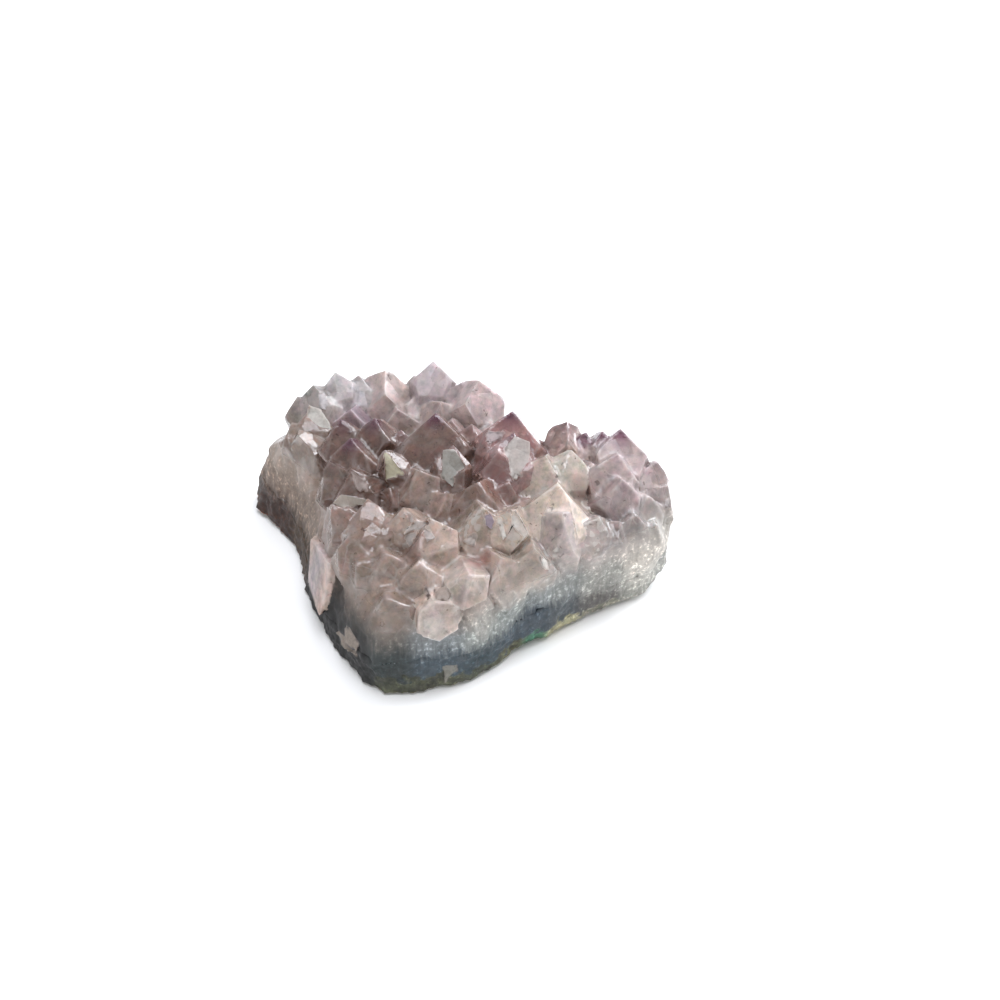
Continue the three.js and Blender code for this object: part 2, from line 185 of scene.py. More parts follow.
# The way from the camera through a pixel of the picture
def rayThrough(px, py):
    up = Vector((0, math.sin(view["elevation"]), math.cos(view["elevation"])))
    ahead = -towardsCamera * view["lens"] / view["sensor"] * view["picture"]
    half = view["picture"] / 2
    return (ahead + Vector((1, 0, 0)) * (px - half) + up * (half - py)).normalized()


makeCamera()
print("camera placed")


# Studio: a pale floor and soft light from the right, the back and above

studio = {
    "floorSize": 6,
    "floor": "#f2f1ef",
    "floorRoughness": 0.9,
    "aim": (0, 0, 15 * mm),    # what the lights point at
    "sky": "#eef1f5",
    "skyStrength": 0.7,
    "boxes": {
        "window": {"place": (0.42, 0.34, 0.42), "size": 0.45, "watts": 6.5, "colour": "#f6f9ff"},
        "top": {"place": (0.0, -0.05, 0.62), "size": 0.4, "watts": 3.2, "colour": "#f4f7ff"},
        "front": {"place": (-0.2, -0.6, 0.3), "size": 0.6, "watts": 0.7, "colour": "#fff6ec"},
    },
}


def makeStudio():
    bpy.ops.mesh.primitive_plane_add(size=studio["floorSize"])
    floor = bpy.context.object
    floor.name = "floor"
    paper = bpy.data.materials.new("floor_paper")
    paper.use_nodes = True
    shader = paper.node_tree.nodes["Principled BSDF"]
    shader.inputs["Base Color"].default_value = linear(studio["floor"])
    shader.inputs["Roughness"].default_value = studio["floorRoughness"]
    floor.data.materials.append(paper)
    for name, box in studio["boxes"].items():
        place = Vector(box["place"])
        bpy.ops.object.light_add(type="AREA", location=place)
        lamp = bpy.context.object
        lamp.name = name + "_box"
        lamp.rotation_euler = (Vector(studio["aim"]) - place).to_track_quat("-Z", "Y").to_euler()
        lamp.data.size = box["size"]
        lamp.data.energy = box["watts"]
        lamp.data.color = linear(box["colour"])[:3]
    sky = bpy.data.worlds.new("studio_sky")
    sky.use_nodes = True
    backdrop = sky.node_tree.nodes["Background"]
    backdrop.inputs["Color"].default_value = linear(studio["sky"])
    backdrop.inputs["Strength"].default_value = studio["skyStrength"]
    bpy.context.scene.world = sky
    bpy.context.scene.view_settings.view_transform = "Standard"


makeStudio()
print("studio lit")


# What the two stones share

# Colours of the quartz by where it grew: x and y of the middle and how far it reaches, in mm
growth = {
    "smokyCrest": {"colour": "#8d6d61", "places": [(-18, 7, 9), (-5, 4, 9), (-14, -4, 8)]},
    "smokyHollow": {"colour": "#a98b7d", "places": [(4, -8, 6)]},
    "roseCrest": {"colour": "#c49693", "places": [(9, 6, 6), (9, 1, 4)]},
    "brownSlope": {"colour": "#bfa697", "places": [(-9, -16, 7), (-9, -22, 8)]},
    "paleSlope": {"colour": "#c5aea1", "places": [(-6, -8, 5)]},
    "duskyCorner": {"colour": "#9f897a", "places": [(-12, -30, 6), (-16, -24, 6)]},
    "roseStain": {"colour": "#b5857a", "places": [(7, -4, 4), (4, -19, 2.5)]},
    "paleFront": {"colour": "#ddcab9", "places": [(2, -15, 6), (11, -17, 6), (16, -7, 4)]},
    "milkyFoot": {"colour": "#9b8e85", "places": [(3, -26, 6)]},
    "creamPoint": {"colour": "#efe6d6", "places": [(20, -2, 5)]},
    "brownArm": {"colour": "#8f7d7c", "places": [(28, -3, 6)]},
    "lilacArm": {"colour": "#bba8a7", "places": [(29, 5, 6)]},
    "paleArm": {"colour": "#ac9f9b", "places": [(20, -13, 6)]},
    "whiteEnd": {"colour": "#a09d95", "places": [(36, -7, 5)]},
    "creamLobe": {"colour": "#b7a69f", "places": [(-11, 25, 5), (-6, 21, 4)]},
    "lilacLobe": {"colour": "#a48f9b", "places": [(-18, 23, 5)]},
    "frostTip": {"colour": "#a3a09d", "places": [(-22, 27, 2.5)]},
    "lilacPoint": {"colour": "#bdb1b6", "places": [(-5, 26, 4)]},
    "pinkLobe": {"colour": "#b2a09e", "places": [(5, 22, 8)]},
    "greyFlank": {"colour": "#a08b7c", "places": [(-29, 11, 6), (-32, 16, 6), (-25, -2, 5)]},
    "kiteFace": {"colour": "#a09697", "places": [(-25, -10, 3.5)]},
    "splitFace": {"colour": "#aba29b", "places": [(-3, -30, 3)]},
    # darker on the sill of the split crystal: painted shade, for it faces up into the light
    "darkSill": {"colour": "#84746a", "places": [(-1.3, -26.6, 1.6)]},
}


growthBlend = {"core": 0.03, "fall": 3}    # how even a zone is inside, and how fast it ends


def growthColour(place):
    total = Vector((0, 0, 0))
    weights = 0
    for zone in growth.values():
        colour = Vector(linear(zone["colour"])[:3])
        for x, y, reach in zone["places"]:
            away = math.hypot(place.x / mm - x, place.y / mm - y) / reach
            weight = 1 / (growthBlend["core"] + away ** growthBlend["fall"])
            total += colour * weight
            weights += weight
    return total / weights


# Relief of the broken side: how wide its forms are and how deep, in mm
broken = {
    "lump": 4.2, "lumpDepth": 0.5, "lumpDetail": (1.0, 2.1, 3),    # roughness, step, octaves
    "break": 1.7, "breakDepth": 0.25,
    "fibre": 0.9, "fibreLength": 5, "fibreDepth": 0.22,
}


# How far the broken side of the plate stands out or in at a place
def brokenRelief(place):
    p = place / mm
    relief = noise.fractal(p / broken["lump"], *broken["lumpDetail"]) * broken["lumpDepth"]
    relief += noise.noise(p / broken["break"]) * broken["breakDepth"]
    width, length = broken["fibre"], broken["fibreLength"]
    upright = Vector((p.x / width, p.y / width, p.z / length))
    return (relief + noise.noise(upright) * broken["fibreDepth"]) * mm


def levelOf(normal):
    return Vector((normal.x, normal.y, 0)).normalized()


# 1 where a face stands upright, 0 where it lies level
def uprightShare(normal, steepness):
    return smooth(*steepness, Vector((normal.x, normal.y, 0)).length)


# The broken side by stretches round the plate. For each, the x and y of a place on it and how high
# the stone skin, the dark band and the grey zone over it reach, in mm, and its colours: wall, grey
# zone, band and skin.
sides = {
    "corner": [-11, -31, 4, 11, 20, "#8c7c71", "#625e59", "#3d4242", "#505246"],
    "front": [-2, -28.6, 4, 9, 14.5, "#b9aea6", "#878c8e", "#505a61", "#55564a"],
    "hollow": [5, -25.5, 2.5, 8.5, 12.5, "#d2c9c0", "#949793", "#465055", "#565a4c"],
    "olive": [10.5, -21.5, 3, 9, 15.2, "#cdc6be", "#919592", "#4e575e", "#6c6b54"],
    "celadonite": [14, -18.6, 3.8, 10.5, 17, "#c9c2bb", "#8f9392", "#50585f", "#527a66"],
    "cream": [17.4, -16, 3.6, 9.5, 17, "#bfb8b1", "#8f918e", "#565b5e", "#a7a284"],
    "right": [25.5, -10.5, 2.5, 6, 14, "#b7afa8", "#9a9993", "#696663", "#8f8d80"],
    "whiteEnd": [33, -7.8, 1.5, 4, 9, "#cac3ba", "#bdbab2", "#9c9c95", "#a8a698"],
    "rightEnd": [37.5, -2, 1.5, 4, 9, "#a9a39b", "#a5a49e", "#8d8f8b", "#99978a"],
    "rightBack": [31, 9.5, 2.5, 7, 13, "#bdb4ae", "#969997", "#5d6264", "#77766a"],
    "notch": [14, 11.6, 3, 8, 14, "#b7aca7", "#8f9292", "#555b5d", "#68675b"],
    "lobeSide": [8, 21, 3, 8, 15, "#b9acaa", "#8e9091", "#51575a", "#64665a"],
    "back": [-3, 29.5, 3.5, 8, 15, "#bbb0ab", "#8d8f90", "#50575a", "#7a7763"],
    "backLeft": [-18, 30, 3, 7.5, 14, "#aea29b", "#85827f", "#4c4d4b", "#5b564a"],
    "leftBack": [-32, 26, 2, 7.5, 13, "#a3968c", "#84786e", "#4c443c", "#4a4238"],
    # On the left, in leftCorner and leftFlank, the tones are darker partly with painted shade, on
    # the side away from the light
    "leftCorner": [-34.5, 13, 1, 8, 13, "#9c8e82", "#85756a", "#453729", "#3c3024"],
    "leftFlank": [-29, 3, 1, 8, 15, "#9d8e83", "#827368", "#4d4138", "#3d342b"],
    # kiteSide, shade and cornerLeft are darkened with a painted shadow beside the kite and along
    # the front left
    "kiteSide": [-25, -10, 1, 9, 14.5, "#827368", "#5a4f47", "#2f2924", "#2d2722"],
    "shade": [-19.5, -20, 1, 10.5, 15, "#6d625b", "#453e3a", "#2b2725", "#2a2622"],
    "cornerLeft": [-15.5, -26.5, 1.5, 11, 17, "#6a6059", "#484440", "#2f2d2c", "#2e2b27"],
}
sideTones = ("wallTone", "greyTone", "bandTone", "skinTone")
sideBlend = {"core": 2, "least": 0.01}    # mm2, and the smallest share that is worth adding


# The stone's own colour under the colour that the eye sees, which has the light and gloss on it.
# A very dark one keeps a share of itself.
def underLight(hexColour, gloss=0.03, light=1.18, kept=0.125):
    shares = [max(part * kept, part - gloss) / light for part in linear(hexColour)[:3]]
    return Vector([*shares, 1])


sideRows = [
    (x, y, Vector(row[:3]) * mm, [underLight(tone) for tone in row[3:]])
    for x, y, *row in sides.values()
]


# Paints the heights and colours of the nearest stretches on a piece
def paintSides(piece):
    tops = []
    tones = {name: [] for name in sideTones}
    for vertex in piece.data.vertices:
        x, y = vertex.co.x / mm, vertex.co.y / mm
        weights = [
            1 / (sideBlend["core"] + (x - row[0]) ** 2 + (y - row[1]) ** 2) ** 2
            for row in sideRows
        ]
        total = sum(weights)
        top = Vector((0, 0, 0))
        blend = [Vector((0, 0, 0, 0)) for _ in sideTones]
        for weight, row in zip(weights, sideRows):
            if weight > sideBlend["least"] * total:
                top += row[2] * (weight / total)
                for tone, colour in zip(blend, row[3]):
                    tone += colour * (weight / total)
        tops.extend(top)
        for name, tone in zip(sideTones, blend):
            tones[name].extend(tone)
    paint(piece, "sideTops", tops, "FLOAT_VECTOR")
    for name, colours in tones.items():
        paint(piece, name, colours, "FLOAT_COLOR")


# The seam between the two stones, where the quartz and the rind have to match
seam = {
    "wave": 3.3, "waveHeight": 0.9,         # mm
    "ripple": 0.9, "rippleHeight": 0.25,    # mm
    "kept": 1.3 * mm,                       # a side isn't eased this near to the other stone
    "side": 1.2 * mm,                       # all that is upright this near to the rind is side
    "steepness": (0.35, 0.7),               # level part of a normal
}


# How far the seam wanders up or down at a place
def seamWander(place):
    flat = Vector((place.x, place.y, 0)) / mm
    wave = noise.noise(flat / seam["wave"]) * seam["waveHeight"]
    ripple = noise.noise(flat / seam["ripple"]) * seam["rippleHeight"]
    return Vector((0, 0, wave + ripple)) * mm


# Nearness to the nearest of some spots, each x, y and reach in mm: 1 there and 0 far away
def nearness(place, spots):
    return max(
        math.exp(-(math.hypot(place.x / mm - x, place.y / mm - y) / reach) ** 2)
        for x, y, reach in spots
    )


# Takes the hard corners out of what is wanted
def easeSide(piece, wanted, rounds):
    openMesh(piece)
    selectWanted(piece, "verts", wanted)
    bpy.ops.mesh.vertices_smooth(factor=0.5, repeat=rounds)
    closeMesh()


# Small flat faces that shine or stand out. Each has the colour that the eye sees on it, and its
# outline as the camera sees it, in px. That colour is painted on them, so on the bright ones it is
# a painted highlight, a painted reflection of the window and sky, over the stone's own colour.
facets = {
    "below": 1.5 * mm,    # how far the stone is built up behind one
    "above": 4 * mm,      # how far the stone in front of one is taken off
    "proud": 0.1 * mm,    # how far one stands out of the stone
    "light": 1.45,        # they catch more light than the broken side
    "turn": 0.3,          # share of the way to where it would mirror the window
    "small": 1.5 * mm,    # a larger one is turned less
    "near": 0.15 * mm,    # points this near to one are on it
    "cover": 0.85,        # how much of its own colour shows
    "frost": (0.35, 0.65, 0.8, 1.18),    # levels of the frost, and how dark and light it is there
    "quartz": [
        ("#a89a94", [(352, 471), (369, 486), (366, 490), (360, 492), (356, 487)]),
        ("#a9a297", [(333, 503), (341, 495), (369, 500), (370, 505), (356, 505), (344, 509)]),
        ("#aba5a0", [(402, 531), (418, 522), (431, 520), (430, 524), (416, 530), (404, 535)]),
        ("#b2aaa6", [(406, 536), (416, 532), (413, 545), (409, 547)]),
        ("#b2aaa6", [(424, 528), (435, 537), (427, 542)]),
        ("#e4dfd8", [(498, 519), (501, 520), (506, 537), (503, 540)]),
        ("#cdc6be", [(510, 509), (516, 512), (530, 535), (525, 538), (515, 529)]),
        ("#e6e1da", [(539, 556), (545, 559), (549, 570), (544, 569)]),
        ("#b9afa9", [(463, 541), (474, 534), (476, 547)]),
        ("#cdc9ad", [(384, 453), (388, 454), (404, 474), (386, 480)]),
        ("#bcb9b1", [(308, 405), (320, 409), (329, 422), (331, 429), (319, 427), (307, 416)]),
        ("#cfc9ca", [(318, 394), (324, 393), (328, 403), (326, 410), (320, 408)]),
        ("#9d9e97", [(443, 450), (454, 449), (466, 468), (454, 477), (453, 487), (442, 477)]),
        ("#b5aaaa", [(485, 433), (503, 432), (500, 438), (489, 444)]),
        ("#b8b4ad", [(515, 436), (530, 442), (530, 460), (514, 483), (505, 449)]),
        ("#a3978c", [(343, 629), (349, 627), (358, 645), (356, 650), (345, 640)]),
        ("#8d8093", [(486, 515), (491, 514), (494, 522), (491, 529), (486, 525)]),
        ("#3f3832", [(426, 589), (430, 591), (431, 598), (428, 601), (426, 595)]),
        # The sill of the split crystal, painted darker with painted shade, for it faces up into
        # the light
        ("#95867c", [(434, 588), (446, 587), (451, 594), (447, 601), (436, 600)]),
    ],
    "rind": [
        ("#a3978c", [(336, 633), (349, 627), (358, 645), (356, 655), (342, 648)]),
        ("#99968d", [(443, 667), (455, 664), (457, 669), (448, 678), (445, 683)]),
    ],
}


# The corners of a facet, in the plane that lies best on the stone there
def facetCorners(solid, outline):
    rays = [rayThrough(px, py) for px, py in outline]
    rays.append(sum(rays, Vector((0, 0, 0))).normalized())
    hits = [hit for hit in (solid.ray_cast(cameraPlace, ray) for ray in rays) if hit[0]]
    own = sum((hit[1] for hit in hits), Vector((0, 0, 0))).normalized()
    spot = hits[-1][0]
    size = max((hit[0] - spot).length for hit in hits)
    towardsWindow = (Vector(studio["boxes"]["window"]["place"]) - spot).normalized()
    mirror = (towardsCamera + towardsWindow).normalized()
    normal = own.lerp(mirror, facets["turn"] / max(1, size / facets["small"])).normalized()
    levels = sorted(normal.dot(hit[0]) for hit in hits)
    level = levels[len(levels) // 2] + facets["proud"]
    return [
        cameraPlace + ray * (level - normal.dot(cameraPlace)) / normal.dot(ray)
        for ray in rays[:-1]
    ]


def makePrism(corners, push):
    bpy.ops.mesh.primitive_circle_add(vertices=len(corners), radius=mm, fill_type="NGON")
    piece = bpy.context.object
    for vertex, corner in zip(piece.data.vertices, corners):
        vertex.co = corner
    openMesh(piece, "FACE")
    bpy.ops.mesh.extrude_region_move(TRANSFORM_OT_translate={"value": push})
    bpy.ops.mesh.select_all(action="SELECT")
    bpy.ops.mesh.normals_make_consistent(inside=False)
    closeMesh()
    return piece


# Levels the stone to its facets, and gives them back as a surface with one face for each
def addFacets(piece, entries):
    solid = surfaceOf(piece)
    outlines = [facetCorners(solid, outline) for _, outline in entries]
    steps = (("UNION", -facets["below"]), ("DIFFERENCE", facets["above"]))
    for operation, reach in steps:
        prisms = [makePrism(corners, towardsCamera * reach) for corners in outlines]
        makeActive(prisms[0])
        for prism in prisms:
            prism.select_set(True)
        bpy.ops.object.join()
        together = bpy.context.object
        makeActive(piece)
        step = piece.modifiers.new("facets", "BOOLEAN")
        step.operation = operation
        step.solver = "EXACT"
        step.use_self = True
        step.object = together
        bpy.ops.object.modifier_apply(modifier=step.name)
        bpy.data.objects.remove(together)
    corners = [corner for outline in outlines for corner in outline]
    faces = []
    for outline in outlines:
        first = sum(len(face) for face in faces)
        faces.append(tuple(range(first, first + len(outline))))
    return BVHTree.FromPolygons(corners, faces)


# The number of the facet that each point of a piece lies on, or None
def facetOf(piece, surface):
    return [surface.find_nearest(vertex.co, facets["near"])[2] for vertex in piece.data.vertices]


# Paints the seen colours of the facets, with the painted highlights and shade in them, on the
# points that lie on one
def paintFacets(piece, numbers, entries):
    paint(piece, "facetToneAndGlint", [float(number is not None) for number in numbers])
    tones = []
    for number in numbers:
        tones.extend(underLight(entries[number or 0][0], light=facets["light"]))
    paint(piece, "facetToneAndGlintColour", tones, "FLOAT_COLOR")


# The quartz: bed and points in one

druse = {
    "flat": 0.8,             # degrees; faces that meet flatter than this are one
    "sameCrystal": 1.5,      # degrees; a deeper hollow parts two crystals
    "wearWidth": 0.09 * mm,    # worn strip along the sharp edges
    "wearAngle": 24,         # degrees; edges blunter than this aren't worn
    "paleAngle": 9,          # degrees; edges blunter than this aren't paler
    "shortestWorn": 0.5 * mm,    # nor are those that end where a shorter one does
    "grain": 1.0 * mm,       # longest edge of the finished mesh
    "softAngle": 20,         # degrees; edges blunter than this are shaded smooth
    "underside": -0.4,       # a normal that points further down is the underside's
    "upper": -0.2,           # a normal that points less far down is the upper side's
    "tipReach": 5.0 * mm,    # how far the violet runs down from a tip
    # Spots, each x, y and reach in mm
    "violetTips": [(-4, 6, 7), (10, 6.5, 6), (-18, 8, 7), (29, 8, 6), (24, 8, 5)],
    "roseSpots": [(7, -4, 3.5), (4.5, -19, 2.5), (22, -3.5, 2.5), (-6, -18, 2)],
    "milkySpots": [(-20, 24, 9), (-9, 25, 9), (4, 22, 8), (30, 0, 8), (20, -13, 6), (2, -24, 7)],
    # Spots with white flakes of cracked quartz, painted as sparkle
    "flawAndSparkleSpots": [
        (-8, -15, 3), (10.5, -14.5, 4), (16, -17, 3), (3, -14, 3.5), (16, -6, 4), (24, -12, 4),
    ],
    "wornSlopes": [(-12, -18, 7), (-9, -26, 7), (-15, -26, 6), (34, -5, 5)],
    "wornNearness": 0.4,     # as near as this to one of them the crystals are worn round
    "wornRounds": 4,
    "milkySpot": 0.6,        # how milky the quartz is at a milky spot,
    "milkySplit": 0.85,      # on a crystal that shows in the broken side
    "milkyFacet": 0.75,      # and on a facet
    "wallTop": (12 * mm, 20 * mm),    # the broken side ends between these heights
    "wallSteepness": (0.55, 0.9),    # level part of a normal
    "wallLeast": 0.5,        # only what is wall to this share is smoothed with it
    "wallRounds": 4,
    "openBelow": 11 * mm,    # nothing but the broken side is steep below this
    "rayStart": 0.2 * mm,    # how far off the stone the level rays start
    "faceWave": 2.6,         # mm
    "faceRelief": 0.07 * mm,
    "chip": 0.8,             # mm
    "chipRelief": 0.03 * mm,
    "creaseAngle": 8,        # degrees; hollows sharper than this have grown together
    "creaseRounds": 3,
    # Crystals that show in the broken side: a place on each, in mm, and from which height down it
    # goes over into the side
    "split": [(-23.2, -12.8, 10.2, 0), (-1.9, -29.4, 17.3, 17)],
    "splitFade": 4 * mm,
    "splitReach": 10 * mm,
    "ownColour": 0.75,       # how far a crystal keeps to the colour of its top,
    "ownReach": (7 * mm, 16 * mm),    # in full down to here, and not below here
    "lapNormal": -0.3,       # what faces down like this
    "lapRise": 0.6 * mm,     # as near as this to the rind
    "lap": 0.4 * mm,         # reaches this far down, over the gap to the rind
    "cleftReach": 7 * mm,
    "cleftRays": 16,
    "cleftStart": 0.15 * mm,    # how far off the stone they start
    "cleftSpread": 1.05,     # they lean off the normal by 72 degrees at most
    "seed": 4,
}


def wearEdges(piece):
    openMesh(piece, "EDGE")
    steep = math.radians(druse["wearAngle"])
    cage = bmesh.from_edit_mesh(piece.data)
    ends = {
        vertex.index: min(edge.calc_length() for edge in vertex.link_edges) < druse["shortestWorn"]
        for vertex in cage.verts
    }
    found = selectWanted(
        piece, "edges",
        lambda edge: edge.calc_face_angle_signed(0) > steep
        and not any(ends[vertex.index] for vertex in edge.verts)
        and not any(face.normal.z < druse["underside"] for face in edge.link_faces),
    )
    bpy.ops.mesh.bevel(
        offset=druse["wearWidth"], segments=1, profile=0.5, affect="EDGES", clamp_overlap=False,
    )
    closeMesh()
    print("  worn edges:", found)


# Faces that meet without a hollow between them belong to one crystal. Gives each face its
# crystal's number, and each crystal its highest point.
def sortCrystals(piece):
    parting = math.radians(-druse["sameCrystal"])
    cage = bmesh.new()
    cage.from_mesh(piece.data)
    cage.faces.ensure_lookup_table()
    crystalOf = [-1] * len(cage.faces)
    tops = []
    for first in cage.faces:
        if crystalOf[first.index] >= 0:
            continue
        number = len(tops)
        crystalOf[first.index] = number
        waiting = [first]
        top = Vector((0, 0, -1))
        while waiting:
            face = waiting.pop()
            for vertex in face.verts:
                if vertex.co.z > top.z:
                    top = vertex.co.copy()
            for edge in face.edges:
                if len(edge.link_faces) != 2 or edge.calc_face_angle_signed(0) < parting:
                    continue
                for other in edge.link_faces:
                    if crystalOf[other.index] < 0:
                        crystalOf[other.index] = number
                        waiting.append(other)
        tops.append(top)
    cage.free()
    return crystalOf, tops


# Smooths the broken side, the hollows between the crystals and the worn slopes
def easeDruse(piece, rindSurface):
    wall = surfaceOf(piece)
    easeSide(
        piece,
        lambda vertex: vertex.normal.z > druse["upper"]
        and rindSurface.find_nearest(vertex.co)[3] > seam["kept"]
        and wallShare(wall, vertex.co, vertex.normal) > druse["wallLeast"],
        druse["wallRounds"],
    )
    fuseCreases(piece)
    easeSide(
        piece,
        lambda vertex: nearness(vertex.co, druse["wornSlopes"]) > druse["wornNearness"]
        and vertex.normal.z > druse["upper"],
        druse["wornRounds"],
    )


def makeDruse():
    piece = copySolid("amethyst_crystals", "amethyst_druse")
    facetFaces = addFacets(piece, facets["quartz"])
    openMesh(piece, "EDGE")
    bpy.ops.mesh.dissolve_limited(angle_limit=math.radians(druse["flat"]))
    closeMesh()
    crystalOf, tops = sortCrystals(piece)
    plain = surfaceOf(piece)
    print("  crystals:", len(tops))
    wearEdges(piece)
    cutFine(piece, druse["grain"])
    rindSurface = surfaceOf(frame["nodes"]["chalcedony_rind"])
    easeDruse(piece, rindSurface)
    own = surfaceOf(piece)
    chance = random.Random(druse["seed"])
    spread = [randomWay(chance) for _ in range(druse["cleftRays"])]
    shades = [chance.random() for _ in tops]
    violet = [nearness(top, druse["violetTips"]) for top in tops]
    split = {
        crystalOf[plain.find_nearest(Vector(spot) * mm)[2]]: (Vector(spot) * mm, fadeTop * mm)
        for *spot, fadeTop in druse["split"]
    }
    onFacets = facetOf(piece, facetFaces)
    paints = {name: [] for name in ("tip", "wall", "cleft", "worn", "rose", "flawsAndSparkle", "milky")}
    moved = []
    creases = wornPoints(piece)
    for vertex in piece.data.vertices:
        place, normal = vertex.co.copy(), vertex.normal.copy()
        rise = rindSurface.find_nearest(place)[3]
        wall = wallShare(own, place, normal)
        if rise < seam["side"]:
            wall = max(wall, uprightShare(normal, seam["steepness"]))
        crystal = crystalOf[plain.find_nearest(place)[2]]
        milky = max(wall, nearness(place, druse["milkySpots"]) * druse["milkySpot"])
        if isSplit(split, crystal, place):
            fadeTop = split[crystal][1]
            wall *= 1 - smooth(fadeTop - druse["splitFade"], fadeTop, place.z)
            milky = druse["milkySplit"]
        sideShare = wall if rise > seam["side"] else 1.0
        reach = (place - tops[crystal]).length
        facetToneAndGlint = onFacets[vertex.index] is not None
        paints["tip"].append((1 - smooth(0, druse["tipReach"], reach)) * violet[crystal])
        paints["wall"].append(sideShare)
        paints["milky"].append(max(milky, druse["milkyFacet"]) if facetToneAndGlint else milky)
        # how hidden a place is, for the painted shade and brown film in the hollows
        paints["cleft"].append(cleftShare(own, place, normal, spread))
        # pale edges, for wear and a painted highlight, none on the broken side
        paints["worn"].append(creases[vertex.index] * (1 - sideShare))
        paints["rose"].append(nearness(place, druse["roseSpots"]))
        # white flakes and painted sparkle near the flaw spots
        paints["flawsAndSparkle"].append(nearness(place, druse["flawAndSparkleSpots"]))
        shift = levelOf(normal) * brokenRelief(place) * wall
        if not facetToneAndGlint:
            wave = noise.noise(place / mm / druse["faceWave"])
            shift += normal * wave * druse["faceRelief"] * (1 - wall)
            shift += normal * noise.noise(place / mm / druse["chip"]) * druse["chipRelief"]
        if normal.z < druse["lapNormal"] and rise < druse["lapRise"]:
            shift += seamWander(place) - Vector((0, 0, druse["lap"]))
        moved.append(place + shift)
    movePoints(piece, moved)
    for name, values in paints.items():
        paint(piece, name, values)
    paintFacets(piece, onFacets, facets["quartz"])
    paintSides(piece)
    paintCrystals(piece, plain, crystalOf, tops, shades, split)
    makeActive(piece)
    bpy.ops.object.shade_smooth_by_angle(angle=math.radians(druse["softAngle"]))
    return piece


# Share of the rays from a place that meet the piece again nearby, which darkens the hollows of the
# quartz with painted shade and a brown film
def cleftShare(own, place, normal, spread):
    start = place + normal * druse["cleftStart"]
    blocked = 0
    for way in spread:
        ray = (way + normal * druse["cleftSpread"]).normalized()
        if own.ray_cast(start, ray, druse["cleftReach"])[0]:
            blocked += 1
    return blocked / druse["cleftRays"]


# Whether a place is on one of the crystals that show in the broken side
def isSplit(split, crystal, place):
    return crystal in split and (place - split[crystal][0]).length < druse["splitReach"]


# Crystals that have grown into each other meet in a soft hollow, not in a sharp crease
def fuseCreases(piece):
    hollow = math.radians(-druse["creaseAngle"])
    openMesh(piece, "EDGE")
    selectWanted(
        piece, "edges",
        lambda edge: edge.calc_face_angle_signed(0) < hollow
        and edge.verts[0].normal.z > druse["upper"],
    )
    bpy.ops.mesh.vertices_smooth(factor=0.5, repeat=druse["creaseRounds"])
    closeMesh()


def randomWay(chance):
    way = Vector((chance.gauss(0, 1), chance.gauss(0, 1), chance.gauss(0, 1)))
    return way.normalized()


# Each crystal has one colour of its own, from its zone, and a shade of its own
def paintCrystals(piece, plain, crystalOf, tops, shades, split):
    tints = []
    ownShades = []
    zoneColours = [growthColour(top) for top in tops]
    for face in piece.data.polygons:
        crystal = crystalOf[plain.find_nearest(face.center)[2]]
        near = growthColour(face.center)
        far = (tops[crystal] - face.center).length
        share = druse["ownColour"] * (1 - smooth(*druse["ownReach"], far))
        if isSplit(split, crystal, face.center):
            share = 0
        tints.extend([*near.lerp(zoneColours[crystal], share), 1.0])
        ownShades.append(shades[crystal])
    paint(piece, "tint", tints, "FLOAT_COLOR", "FACE")
    paint(piece, "shade", ownShades, domain="FACE")


# 1 on the convex edges of the crystals, 0 elsewhere; the quartz is painted paler there, for wear
# and as a painted highlight
def wornPoints(piece):
    worn = [0.0] * len(piece.data.vertices)
    sharp = math.radians(druse["paleAngle"])
    cage = bmesh.new()
    cage.from_mesh(piece.data)
    for edge in cage.edges:
        low = any(face.normal.z < druse["underside"] for face in edge.link_faces)
        if edge.calc_face_angle_signed(0) > sharp and not low:
            for vertex in edge.verts:
                worn[vertex.index] = 1.0
    print("  open edges:", sum(1 for edge in cage.edges if len(edge.link_faces) != 2))
    cage.free()
    return worn


# 1 on the broken side of the plate: steep places where a level ray leaves the piece without
# meeting it again, and all steep places near the foot
def wallShare(own, place, normal):
    steep = uprightShare(normal, druse["wallSteepness"])
    low = 1 - smooth(*druse["wallTop"], place.z)
    if steep * low == 0:
        return 0.0
    meets = own.ray_cast(place + normal * druse["rayStart"], levelOf(normal))[0]
    return 0.0 if meets and place.z > druse["openBelow"] else steep * low


# The rind that the quartz grew on

rind = {
    "grain": 0.85 * mm,       # longest edge of the finished mesh
    "softAngle": 40,          # degrees; edges blunter than this are shaded smooth
    "pit": 0.9,               # mm across
    "pits": 0.25 * mm,        # how deep they are,
    "pitsBelow": (0.8, 2.0),  # mm; none nearer to the quartz than this, and in full from here
    "footHeight": 0.05 * mm,
    "footPits": 0.3,          # share of them on the foot
    "upright": 0.3,           # a normal is its side's up to this, and its upper rim's over it
    "easedAbove": 1.5 * mm,
    "rounds": 3,              # smoothing of its broken side
    "tuck": 0.12 * mm,        # how far its upper rim lies in under the quartz
}


